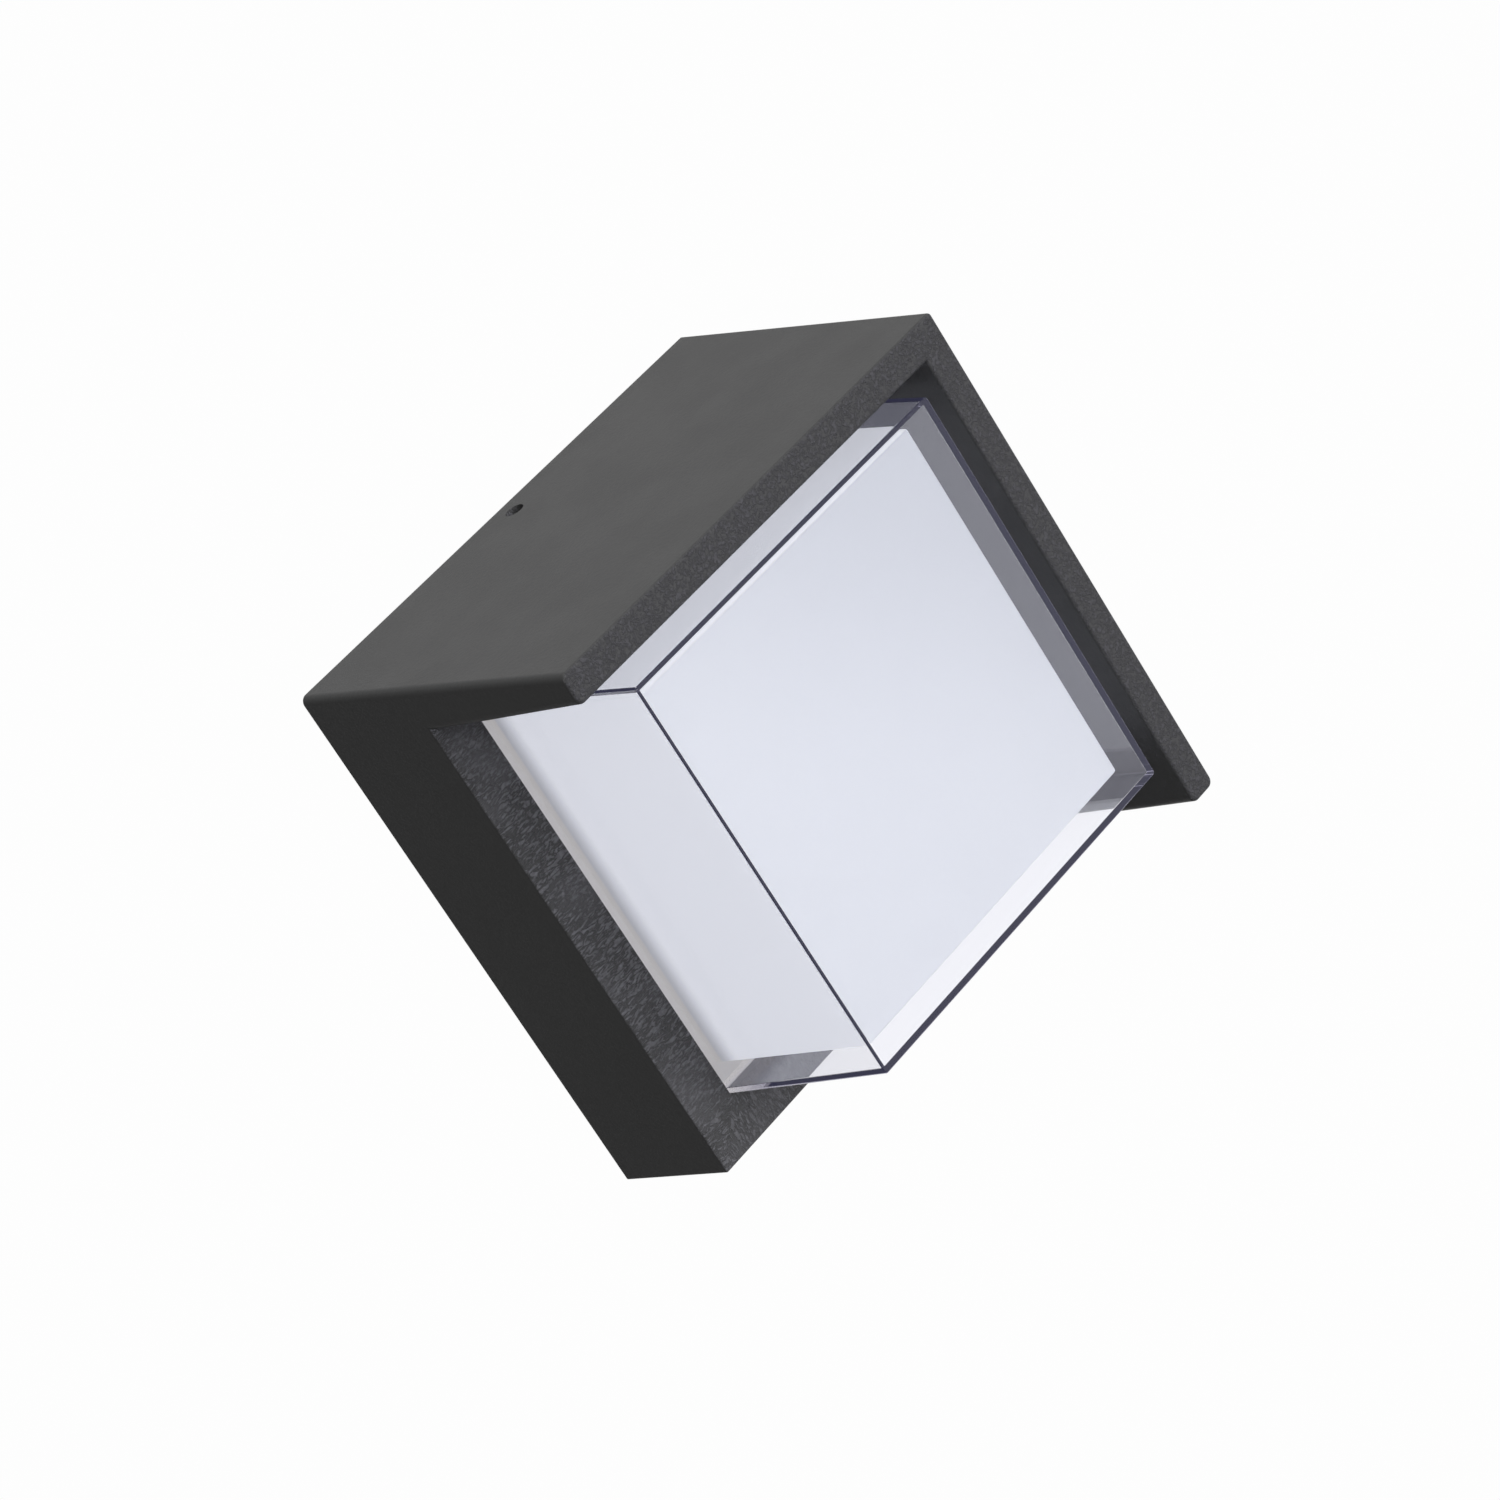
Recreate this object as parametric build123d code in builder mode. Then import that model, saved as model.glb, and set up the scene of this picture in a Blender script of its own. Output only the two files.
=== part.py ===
from build123d import *
import math
import os

# Outdoor wall lantern that hangs on its corner: a die-cast base and hood, a clear cover and an
# opal block. The wall is the plane y = 0 and the lamp stands out of it towards -Y, +Z is up.
# Everything is drawn on planes parallel to the wall. On them x runs up and to the right, along
# the upper left side, and y runs up and to the left, along the upper right side. The third
# direction is the distance from the wall.

# ---- driving dimensions, millimetres ----
SIDE = 150.0  # outer square at the wall
DEPTH = 95.7  # wall to the hood's rim
BASE_DEPTH = 39.3  # wall to the base's front face
DRAFT = 2.4  # degrees, on the outside of the casting
CAVITY = 140.8  # square space inside the base

HOOD_ROOT = 61.0  # centre to the hood's inner face at the base
HOOD_DRAFT = 1.48  # degrees, on the inside of the hood

OPENING = 120.8  # square opening in the base's front
FRONT_WALL = 3.0
COVER_ROOT = 119.9  # cover's outer square where it leaves the base
COVER_FRONT = 96.1  # wall to the cover's front face
COVER_DRAFT = 3.325  # degrees
COVER_WALL = 1.5
FLANGE = 128.0  # square of the cover's flange and gasket
FLANGE_R = 9.0  # corner radius of the flange
GASKET_T, COVER_FLANGE_T, OPAL_FLANGE_T = 1.0, 1.8, 1.7
OPAL_ROOT = 108.5  # opal block's square at its foot
OPAL_FRONT = 89.1  # wall to the opal block's front
OPAL_DRAFT = 2.63  # degrees
OPAL_WALL = 1.6

CHASSIS_T = 2.0
BOARD = 88.0  # LED board's side
BOARD_T = 1.6
SHEET_T = 0.4
LED_PITCH = 16.0
LED_ROWS = 5

BRACKET_T = 1.5
BRACKET_WIDTH = 60.0
EAR_WIDTH = 18.0
EAR_HEIGHT = 12.5
EAR_FACE = 67.6  # centre to the outer face of an ear
SLOT_SPACING = 60.0  # wall screws, across and up
SLOT_LENGTH, SLOT_WIDTH = 12.0, 5.0

SCREW_DEPTH = 6.7  # wall to the grub screws' axes
SCREW_R = 2.5
GRUB_LENGTH = 6.0
M3_R, M4_R = 1.5, 2.0
HEADS = {M3_R: (2.75, 1.8), M4_R: (3.6, 2.4)}  # radius and height of a round head
RUNNING = 0.05  # radial clearance of a screw in its thread
FREE = 0.2  # radial clearance of a screw that passes through
END_GAP = 0.2  # from a screw's end to the far side of its plate

CABLE_R = 4.5  # bore of the mains cable's grommet
GROMMET_HUB_R = 8.0

# ---- distances from the wall, worked out from the stack under the cover ----
base_back = BASE_DEPTH - FRONT_WALL
flange_front = base_back - GASKET_T
flange_back = flange_front - COVER_FLANGE_T
chassis_front = flange_back - OPAL_FLANGE_T
chassis_back = chassis_front - CHASSIS_T
board_front = chassis_front + BOARD_T

wall = Plane(origin=(0, 0, 0), x_dir=(1, 0, 1), z_dir=(0, -1, 0))


def level(distance):
    """The drawing plane at this distance from the wall."""
    return wall.offset(distance)


def drafted(side, degrees, distance):
    """What is left of a drafted square's side at this distance in front of its root."""
    return side - 2 * distance * math.tan(math.radians(degrees))


def corners(spacing):
    """Four places on a square of this spacing."""
    return GridLocations(spacing, spacing, 2, 2)


def leaves_wall(edge):
    """Picks the edges that run away from the wall."""
    return abs(edge.tangent_at(0.5).Y) > 0.9


def beside_wall(face):
    """Picks the faces that stand upright on the wall."""
    return abs(face.normal_at().Y) < 0.1


def on_level(distance):
    """Picks the edges that lie wholly at this distance from the wall."""
    return lambda e: max(abs(e.position_at(t).Y + distance) for t in (0, 0.5, 1)) < 0.01


def below_axis(edge):
    """Picks the edges of the two lower sides."""
    return edge.center().Z < -SIDE / 8


def diamond(thing):
    """Distance of a thing's centre from the axis, measured square to the lamp's sides."""
    return (abs(thing.center().X) + abs(thing.center().Z)) / math.sqrt(2)


def facing_down(across, up, distance):
    """A plane at this place of the drawing planes that faces along their falling y."""
    place = wall.from_local_coords(Vector(across, up, distance))
    return Plane(origin=place, x_dir=wall.x_dir, z_dir=-wall.y_dir)


def save(builder, name):
    builder.part.label = name
    export_step(builder.part, f"parts/{name}.step")


os.makedirs("parts", exist_ok=True)

# ---- housing: one casting, square base and hood ----
SIDE_CORNER_R = 2.0
TOP_CORNER_R = 1.0
BOTTOM_CORNER_R = 0.6
RIM_R = 0.9
BASE_EDGE_R = 0.55
CAVITY_R = 3.0
PAD_WIDTH = 14.0
PAD_REACH = 5.0  # from a pad's face to inside the wall behind it
PAD_FACE = 68.1  # centre to the inner face of a grub screw's pad
PAD_BACK, PAD_FRONT = 1.6, 12.6
BOSS_SPACING = 132.0  # chassis screws
BOSS_SHIFT = 1.2  # from a screw's axis outwards to the middle of its boss
BOSS_SIDE = 11.5
BOSS_CHAMFER = 5.0
TAP_DEPTH = 5.5
SEAL_SIDE, SEAL_DEPTH = 146.0, 1.5  # rebate for the wall gasket
OPENING_R = 1.2
hood_middle = (HOOD_ROOT + SIDE / 2) / 2


def upright_corners():
    """The edges of the housing's outer corners, the lowest first."""
    edges = housing.edges().filter_by(leaves_wall)
    return edges.filter_by(lambda e: diamond(e) > hood_middle).sort_by(Axis.Z)


with BuildPart() as housing:
    with BuildSketch(wall):
        Rectangle(SIDE, SIDE)
    extrude(amount=DEPTH)
    draft(housing.faces().filter_by(beside_wall), neutral_plane=wall, angle=DRAFT)
    # the space under the hood, open to the two lower sides
    with BuildSketch(level(BASE_DEPTH)):
        with Locations((HOOD_ROOT, HOOD_ROOT)):
            Rectangle(2 * SIDE, 2 * SIDE, align=(Align.MAX, Align.MAX))
    extrude(amount=DEPTH, mode=Mode.SUBTRACT)
    upright = housing.faces().filter_by(beside_wall)
    hood_inside = upright.filter_by(lambda f: diamond(f) < hood_middle)
    draft(hood_inside, neutral_plane=level(BASE_DEPTH), angle=HOOD_DRAFT)

    # rounded: the corners at the sides, bottom and top, the rim and the base's two front edges
    fillet(upright_corners()[1:-1], SIDE_CORNER_R)
    fillet(upright_corners()[0], BOTTOM_CORNER_R)
    fillet(upright_corners()[-1], TOP_CORNER_R)
    fillet(housing.edges().filter_by(on_level(DEPTH)), RIM_R)
    fillet(housing.edges().filter_by(on_level(BASE_DEPTH)).filter_by(below_axis), BASE_EDGE_R)

    # rear cavity, wall gasket's rebate and front opening
    with BuildSketch(wall):
        RectangleRounded(CAVITY, CAVITY, CAVITY_R)
    extrude(amount=base_back, mode=Mode.SUBTRACT)
    with BuildSketch(wall):
        RectangleRounded(SEAL_SIDE, SEAL_SIDE, CAVITY_R)
    extrude(amount=SEAL_DEPTH, mode=Mode.SUBTRACT)
    with BuildSketch(level(base_back)):
        RectangleRounded(OPENING, OPENING, OPENING_R)
    extrude(amount=FRONT_WALL, mode=Mode.SUBTRACT)

    # bosses for the chassis screws
    with BuildSketch(level(chassis_front)) as boss_sketch:
        with corners(BOSS_SPACING + 2 * BOSS_SHIFT):
            Rectangle(BOSS_SIDE, BOSS_SIDE)
        inner = [v for v in boss_sketch.vertices() if max(abs(v.X), abs(v.Y)) < BOSS_SPACING / 2]
        chamfer(inner, BOSS_CHAMFER)
    extrude(amount=base_back - chassis_front)
    with BuildSketch(level(chassis_front)):
        with corners(BOSS_SPACING):
            Circle(M4_R + RUNNING)
    extrude(amount=TAP_DEPTH, mode=Mode.SUBTRACT)

    # pads that thicken the two walls at the grub screws, and the screws' holes
    with BuildSketch(level(PAD_BACK)):
        with GridLocations(0, 2 * PAD_FACE + PAD_REACH, 1, 2):
            Rectangle(PAD_WIDTH, PAD_REACH)
    extrude(amount=PAD_FRONT - PAD_BACK)
    with BuildSketch(Plane(origin=(0, -SCREW_DEPTH, 0), x_dir=(0, 1, 0), z_dir=(-1, 0, 1))):
        Circle(SCREW_R)
    extrude(amount=SIDE, both=True, mode=Mode.SUBTRACT)
save(housing, "housing")

# ---- grub screws, one in each side that has a pad ----
HEX_FLATS = 2.5
HEX_DEPTH = 2.5
POINT_CHAMFER = 0.8
grub_tip = EAR_FACE + RUNNING


def grub_screw(side, name):
    """A hex-socket grub screw: side is 1 for the upper left wall and -1 for the lower right one."""
    out = side * wall.y_dir
    base = Plane(origin=out * grub_tip - Vector(0, SCREW_DEPTH, 0), x_dir=(0, 1, 0), z_dir=out)
    with BuildPart() as screw:
        with BuildSketch(base):
            Circle(SCREW_R - RUNNING)
        extrude(amount=GRUB_LENGTH)
        ends = screw.edges().filter_by(GeomType.CIRCLE).sort_by(Axis(base.origin, base.z_dir))
        chamfer(ends[0], POINT_CHAMFER)
        chamfer(ends[-1], POINT_CHAMFER / 2)
        with BuildSketch(base.offset(GRUB_LENGTH - HEX_DEPTH)):
            RegularPolygon(HEX_FLATS / 2, 6, major_radius=False)
        extrude(amount=HEX_DEPTH, mode=Mode.SUBTRACT)
    save(screw, name)


grub_screw(1, "grub_screw_upper")
grub_screw(-1, "grub_screw_lower")

# ---- wall gasket in the rebate of the back rim ----
SEAL_CLEARANCE = 0.1
SEAL_LAP = 0.5  # how far the gasket stands into the cavity
with BuildPart() as wall_gasket:
    with BuildSketch(wall):
        RectangleRounded(SEAL_SIDE - 2 * SEAL_CLEARANCE, SEAL_SIDE - 2 * SEAL_CLEARANCE, CAVITY_R)
        RectangleRounded(CAVITY - 2 * SEAL_LAP, CAVITY - 2 * SEAL_LAP, CAVITY_R, mode=Mode.SUBTRACT)
    extrude(amount=SEAL_DEPTH)
save(wall_gasket, "wall_gasket")

# ---- silicone gasket between the housing's front wall and the cover's flange ----
gasket_hole = OPENING + 0.6
with BuildPart() as cover_gasket:
    with BuildSketch(level(flange_front)):
        RectangleRounded(FLANGE, FLANGE, FLANGE_R)
        RectangleRounded(gasket_hole, gasket_hole, OPENING_R, mode=Mode.SUBTRACT)
    extrude(amount=GASKET_T)
save(cover_gasket, "cover_gasket")

# ---- clear cover: drafted box with thin walls and a flange round its open back ----
COVER_CORNER_R = 1.0
COVER_EDGE_R = 0.4
cover_back_side = drafted(COVER_ROOT, COVER_DRAFT, flange_back - BASE_DEPTH)


def drafted_shell(back, front, side, degrees, corner_r, edge_r, thickness, flange_side, flange_t):
    """A square cap with drafted sides and a flange, drawn from its back level to its front one."""
    with BuildPart() as shell:
        with BuildSketch(level(back)):
            Rectangle(side, side)
        extrude(amount=front - back)
        draft(shell.faces().filter_by(beside_wall), neutral_plane=level(back), angle=degrees)
        fillet(shell.edges().filter_by(leaves_wall), corner_r)
        fillet(shell.edges().filter_by(on_level(front)), edge_r)
        offset(amount=-thickness, openings=shell.faces().sort_by(Axis.Y)[-1])
        with BuildSketch(level(back)):
            RectangleRounded(flange_side, flange_side, FLANGE_R)
            Rectangle(side - thickness, side - thickness, mode=Mode.SUBTRACT)
        extrude(amount=flange_t)
    return shell


clear_cover = drafted_shell(
    flange_back, COVER_FRONT, cover_back_side, COVER_DRAFT, COVER_CORNER_R, COVER_EDGE_R,
    COVER_WALL, FLANGE, COVER_FLANGE_T,
)
save(clear_cover, "clear_cover")

# ---- opal block, its flange held under the cover's ----
OPAL_CORNER_R = 0.8
OPAL_EDGE_R = 0.6
opal_back_side = drafted(OPAL_ROOT, OPAL_DRAFT, -OPAL_FLANGE_T)
opal_diffuser = drafted_shell(
    chassis_front, OPAL_FRONT, opal_back_side, OPAL_DRAFT, OPAL_CORNER_R, OPAL_EDGE_R,
    OPAL_WALL, FLANGE, OPAL_FLANGE_T,
)
save(opal_diffuser, "opal_diffuser")


# ---- screws with a round head, used by several pieces ----
def round_head_screws(places, head_face, shank_r, shank, name, back=True):
    """Screws with a cross recess: the head stands on head_face, on the wall's side of it if back."""
    head_r, head = HEADS[shank_r]
    to_head = -1 if back else 1
    with BuildPart() as screws:
        with BuildSketch(level(head_face)):
            with places:
                Circle(head_r)
        extrude(amount=to_head * head)
        top = level(head_face + to_head * head)
        fillet(screws.edges().filter_by(on_level(head_face + to_head * head)), head / 3)
        with BuildSketch(level(head_face)):
            with places:
                Circle(shank_r)
        extrude(amount=-to_head * shank)
        with BuildSketch(top):
            with places:
                Rectangle(head_r, head_r / 4)
                Rectangle(head_r / 4, head_r)
        extrude(amount=-to_head * head / 2, mode=Mode.SUBTRACT)
    save(screws, name)


# ---- chassis plate: clamps the flanges, carries the board in front and the driver behind ----
CHASSIS_SIDE = 140.0
NOTCH_WIDTH = 16.0  # notches that clear the grub screws' pads
NOTCH_GAP = 0.5
TAP_GAP = 0.5  # from a chassis screw's end to the bottom of its hole
BOARD_SCREW_SPACING = 76.0
LEAD_EXIT = (-48.2, 0)
LEAD_GROMMET_R = 2.9
DRIVER_CENTRE = (0, 36)
DRIVER_SCREW_SPACING = 69.0
TERMINAL_CENTRE = (0, -39)
TERMINAL_SCREW_SPACING = 37.0
EARTH_PLACE = (44, -44)

with BuildPart() as chassis_plate:
    with BuildSketch(level(chassis_back)):
        RectangleRounded(CHASSIS_SIDE, CHASSIS_SIDE, CAVITY_R)
        with GridLocations(0, CHASSIS_SIDE, 1, 2):
            Rectangle(NOTCH_WIDTH, CHASSIS_SIDE - 2 * (PAD_FACE - NOTCH_GAP), mode=Mode.SUBTRACT)
        with corners(BOSS_SPACING):
            Circle(M4_R + FREE, mode=Mode.SUBTRACT)
        with corners(BOARD_SCREW_SPACING):
            Circle(M3_R + RUNNING, mode=Mode.SUBTRACT)
        with Locations(LEAD_EXIT):
            Circle(LEAD_GROMMET_R, mode=Mode.SUBTRACT)
        with Locations(DRIVER_CENTRE):
            with GridLocations(DRIVER_SCREW_SPACING, 0, 2, 1):
                Circle(M3_R + RUNNING, mode=Mode.SUBTRACT)
        with Locations(TERMINAL_CENTRE):
            with GridLocations(TERMINAL_SCREW_SPACING, 0, 2, 1):
                Circle(M3_R + RUNNING, mode=Mode.SUBTRACT)
        with Locations(EARTH_PLACE):
            Circle(M4_R + RUNNING, mode=Mode.SUBTRACT)
    extrude(amount=CHASSIS_T)
save(chassis_plate, "chassis_plate")

chassis_screw = CHASSIS_T + TAP_DEPTH - TAP_GAP
round_head_screws(corners(BOSS_SPACING), chassis_back, M4_R, chassis_screw, "chassis_screws")

# ---- LED board, white sheet with windows, LEDs, screws and connector ----
BOARD_R = 3.0
CHIP = (3.5, 2.8, 0.8)
CHIP_R = 0.3
WINDOW = (4.7, 4.0)
SHEET_GAP = 0.45  # round the screws' heads and the connector
CONNECTOR_CENTRE = (-38.5, 0)
CONNECTOR = (6.0, 8.0, 4.6)
CONNECTOR_R = 0.5
led_places = GridLocations(LED_PITCH, LED_PITCH, LED_ROWS, LED_ROWS)

with BuildPart() as led_board:
    with BuildSketch(level(chassis_front)):
        RectangleRounded(BOARD, BOARD, BOARD_R)
        with corners(BOARD_SCREW_SPACING):
            Circle(M3_R + FREE, mode=Mode.SUBTRACT)
    extrude(amount=BOARD_T)
save(led_board, "led_board")

with BuildPart() as reflector_sheet:
    with BuildSketch(level(board_front)):
        RectangleRounded(BOARD, BOARD, BOARD_R)
        with led_places:
            Rectangle(*WINDOW, mode=Mode.SUBTRACT)
        with corners(BOARD_SCREW_SPACING):
            Circle(HEADS[M3_R][0] + SHEET_GAP, mode=Mode.SUBTRACT)
        with Locations(CONNECTOR_CENTRE):
            Rectangle(*[size + 2 * SHEET_GAP for size in CONNECTOR[:2]], mode=Mode.SUBTRACT)
    extrude(amount=SHEET_T)
save(reflector_sheet, "reflector_sheet")

with BuildPart() as led_chips:
    with BuildSketch(level(board_front)):
        with led_places:
            RectangleRounded(CHIP[0], CHIP[1], CHIP_R)
    extrude(amount=CHIP[2])
save(led_chips, "led_chips")

board_screw = BOARD_T + CHASSIS_T - END_GAP
board_corners = corners(BOARD_SCREW_SPACING)
round_head_screws(board_corners, board_front, M3_R, board_screw, "led_board_screws", back=False)

with BuildPart() as led_connector:
    with BuildSketch(level(board_front)):
        with Locations(CONNECTOR_CENTRE):
            Rectangle(CONNECTOR[0], CONNECTOR[1])
    extrude(amount=CONNECTOR[2])
    fillet(led_connector.edges().filter_by(leaves_wall), CONNECTOR_R)
save(led_connector, "led_connector")

# ---- driver: a case screwed to the back of the chassis, a lid and the circuit inside ----
DRIVER = (62.0, 36.0)
DRIVER_BACK = 7.8  # wall to the lid's outer face
DRIVER_WALL = 1.5
DRIVER_R = 2.0
LID_EDGE_R = 0.6
LUG = (8.0, 10.0, 2.0)
LUG_R = 1.0
LUG_SPACING = 68.0
PILLAR_H = 1.4
PILLAR_R = 2.0
PILLAR_INSET = 4.0
DRIVER_BOARD = (56.0, 30.0, 1.6)
floor_back = chassis_back - DRIVER_WALL
driver_board_front = floor_back - PILLAR_H
driver_board_back = driver_board_front - DRIVER_BOARD[2]

with BuildPart() as driver_case:
    with BuildSketch(level(DRIVER_BACK + DRIVER_WALL)):
        with Locations(DRIVER_CENTRE):
            RectangleRounded(DRIVER[0], DRIVER[1], DRIVER_R)
    extrude(amount=chassis_back - DRIVER_BACK - DRIVER_WALL)
    with BuildSketch(level(DRIVER_BACK + DRIVER_WALL)):
        with Locations(DRIVER_CENTRE):
            Rectangle(DRIVER[0] - 2 * DRIVER_WALL, DRIVER[1] - 2 * DRIVER_WALL)
    extrude(amount=floor_back - DRIVER_BACK - DRIVER_WALL, mode=Mode.SUBTRACT)
    with BuildSketch(level(chassis_back)):
        with Locations(DRIVER_CENTRE):
            with GridLocations(LUG_SPACING, 0, 2, 1):
                RectangleRounded(LUG[0], LUG[1], LUG_R)
            with GridLocations(DRIVER_SCREW_SPACING, 0, 2, 1):
                Circle(M3_R + FREE, mode=Mode.SUBTRACT)
    extrude(amount=-LUG[2])
    with BuildSketch(level(floor_back)):
        with Locations(DRIVER_CENTRE):
            with GridLocations(*[size - 2 * PILLAR_INSET for size in DRIVER_BOARD[:2]], 2, 2):
                Circle(PILLAR_R)
    extrude(amount=-PILLAR_H)
save(driver_case, "driver_case")

LIP = 1.2
LIP_GAP = 0.1
with BuildPart() as driver_lid:
    with BuildSketch(level(DRIVER_BACK)):
        with Locations(DRIVER_CENTRE):
            RectangleRounded(DRIVER[0], DRIVER[1], DRIVER_R)
    extrude(amount=DRIVER_WALL)
    fillet(driver_lid.edges().filter_by(on_level(DRIVER_BACK)), LID_EDGE_R)
    lip_outer = [size - 2 * (DRIVER_WALL + LIP_GAP) for size in DRIVER]
    with BuildSketch(level(DRIVER_BACK + DRIVER_WALL)):
        with Locations(DRIVER_CENTRE):
            Rectangle(*lip_outer)
            Rectangle(lip_outer[0] - 2 * LIP, lip_outer[1] - 2 * LIP, mode=Mode.SUBTRACT)
    extrude(amount=LIP)
save(driver_lid, "driver_lid")

with BuildPart() as driver_board:
    with BuildSketch(level(driver_board_back)):
        with Locations(DRIVER_CENTRE):
            Rectangle(DRIVER_BOARD[0], DRIVER_BOARD[1])
    extrude(amount=DRIVER_BOARD[2])
save(driver_board, "driver_board")

TRANSFORMER = (16.0, 15.0)
COIL = (19.0, 10.0)
TRANSFORMER_R = 1.0
TRANSFORMER_H = 12.0
with BuildPart() as driver_transformer:
    with BuildSketch(level(driver_board_back)):
        with Locations(DRIVER_CENTRE):
            RectangleRounded(TRANSFORMER[0], TRANSFORMER[1], TRANSFORMER_R)
    extrude(amount=-TRANSFORMER_H)
    with BuildSketch(level(driver_board_back - TRANSFORMER_H / 4)):
        with Locations(DRIVER_CENTRE):
            RectangleRounded(COIL[0], COIL[1], TRANSFORMER_R)
    extrude(amount=-TRANSFORMER_H / 2)
save(driver_transformer, "driver_transformer")

CAPACITOR_R, CAPACITOR_H = 4.5, 12.5
CAPACITOR_SPACING = 40.0
CAPACITOR_EDGE_R = 0.6
capacitor_back = driver_board_back - CAPACITOR_H
with BuildPart() as driver_capacitors:
    with BuildSketch(level(driver_board_back)):
        with Locations(DRIVER_CENTRE):
            with GridLocations(CAPACITOR_SPACING, 0, 2, 1):
                Circle(CAPACITOR_R)
    extrude(amount=-CAPACITOR_H)
    fillet(driver_capacitors.edges().filter_by(on_level(capacitor_back)), CAPACITOR_EDGE_R)
save(driver_capacitors, "driver_capacitors")


def pair_of_screws(centre, spacing, head_face, name):
    """Two M3 screws into the back of the chassis plate."""
    x, y = centre
    places = Locations((x - spacing / 2, y), (x + spacing / 2, y))
    round_head_screws(places, head_face, M3_R, chassis_front - head_face - END_GAP, name)


pair_of_screws(DRIVER_CENTRE, DRIVER_SCREW_SPACING, chassis_back - LUG[2], "driver_screws")

# ---- mains terminals ----
TERMINAL = (30.0, 18.0, 15.0)
TERMINAL_EDGE_R = 1.0
TERMINAL_LUG = 11.0
TERMINAL_LUG_R = 2.0
POLE_PITCH = 10.0
WIRE_R = 1.1
WIRE_HOLE_R, WIRE_HOLE_DEPTH = 1.8, 6.0
WIRE_OFFSET = 5.5  # from the chassis to the wires' axes
TERMINAL_SCREW_R = 1.7
TERMINAL_SCREW_SPACE = 0.1
TERMINAL_SCREW_PITCH = 8.4  # between the two screws of a pole
TERMINAL_SCREW_TOP, TERMINAL_SCREW_END = 2.0, 6.0  # below the block's face
SLOT_CUT = (4.0, 0.6, 0.8)  # screwdriver's slot
wire_level = chassis_back - WIRE_OFFSET
terminal_back = chassis_back - TERMINAL[2]
terminal_top = TERMINAL_CENTRE[1] + TERMINAL[1] / 2

with BuildPart() as terminal_block:
    with BuildSketch(level(terminal_back)):
        with Locations(TERMINAL_CENTRE):
            Rectangle(TERMINAL[0], TERMINAL[1])
    extrude(amount=TERMINAL[2])
    fillet(terminal_block.edges().filter_by(on_level(terminal_back)), TERMINAL_EDGE_R)
    with BuildSketch(level(chassis_back)):
        with Locations(TERMINAL_CENTRE):
            RectangleRounded(TERMINAL_SCREW_SPACING + TERMINAL_LUG, TERMINAL_LUG, TERMINAL_LUG_R)
            with GridLocations(TERMINAL_SCREW_SPACING, 0, 2, 1):
                Circle(M3_R + FREE, mode=Mode.SUBTRACT)
    extrude(amount=-LUG[2])
    # entries for the mains wires, on the side of the cable
    with BuildSketch(facing_down(TERMINAL_CENTRE[0], terminal_top, wire_level)):
        with GridLocations(POLE_PITCH, 0, 3, 1):
            Circle(WIRE_HOLE_R)
    extrude(amount=WIRE_HOLE_DEPTH, mode=Mode.SUBTRACT)
    with BuildSketch(level(terminal_back)):
        with Locations(TERMINAL_CENTRE):
            with GridLocations(POLE_PITCH, TERMINAL_SCREW_PITCH, 3, 2):
                Circle(TERMINAL_SCREW_R + TERMINAL_SCREW_SPACE)
    extrude(amount=TERMINAL_SCREW_END, mode=Mode.SUBTRACT)
save(terminal_block, "terminal_block")

with BuildPart() as terminal_screws:
    with BuildSketch(level(terminal_back + TERMINAL_SCREW_TOP)):
        with Locations(TERMINAL_CENTRE):
            with GridLocations(POLE_PITCH, TERMINAL_SCREW_PITCH, 3, 2):
                Circle(TERMINAL_SCREW_R)
    extrude(amount=TERMINAL_SCREW_END - TERMINAL_SCREW_TOP)
    with BuildSketch(level(terminal_back + TERMINAL_SCREW_TOP)):
        with Locations(TERMINAL_CENTRE):
            with GridLocations(POLE_PITCH, TERMINAL_SCREW_PITCH, 3, 2):
                Rectangle(SLOT_CUT[0], SLOT_CUT[1])
    extrude(amount=SLOT_CUT[2], mode=Mode.SUBTRACT)
save(terminal_screws, "terminal_screws")

terminal_lug_back = chassis_back - LUG[2]
pair_of_screws(TERMINAL_CENTRE, TERMINAL_SCREW_SPACING, terminal_lug_back, "terminal_block_screws")

# ---- earth point: ring terminal under a screw ----
RING_T = 0.8
RING_R = 4.2
BARREL_R, BARREL_LENGTH = 1.6, 5.0
barrel_top = EARTH_PLACE[1] - 2 * RING_R + BARREL_R / 4
barrel_level = chassis_back - BARREL_R
with BuildPart() as earth_ring:
    with BuildSketch(level(chassis_back)):
        with Locations(EARTH_PLACE):
            Circle(RING_R)
            Rectangle(2 * BARREL_R, EARTH_PLACE[1] - barrel_top, align=(Align.CENTER, Align.MAX))
            Circle(M4_R + FREE, mode=Mode.SUBTRACT)
    extrude(amount=-RING_T)
    with BuildSketch(facing_down(EARTH_PLACE[0], barrel_top, barrel_level)):
        Circle(BARREL_R)
    extrude(amount=BARREL_LENGTH)
save(earth_ring, "earth_ring")

earth_screw = CHASSIS_T + RING_T - END_GAP
round_head_screws(Locations(EARTH_PLACE), chassis_back - RING_T, M4_R, earth_screw, "earth_screw")


# ---- wires, straight runs joined by arcs ----
def wire(name, radius, bend, *points):
    """A round wire through points given across, up and out from the wall."""
    route = [wall.from_local_coords(Vector(*point)) for point in points]
    with BuildPart() as lead:
        with BuildLine() as path:
            FilletPolyline(*route, radius=bend) if len(route) > 2 else Line(*route)
        with BuildSketch(Plane(origin=path.line @ 0, z_dir=path.line % 0)):
            Circle(radius)
        sweep(path=path.line)
    save(lead, name)


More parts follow.
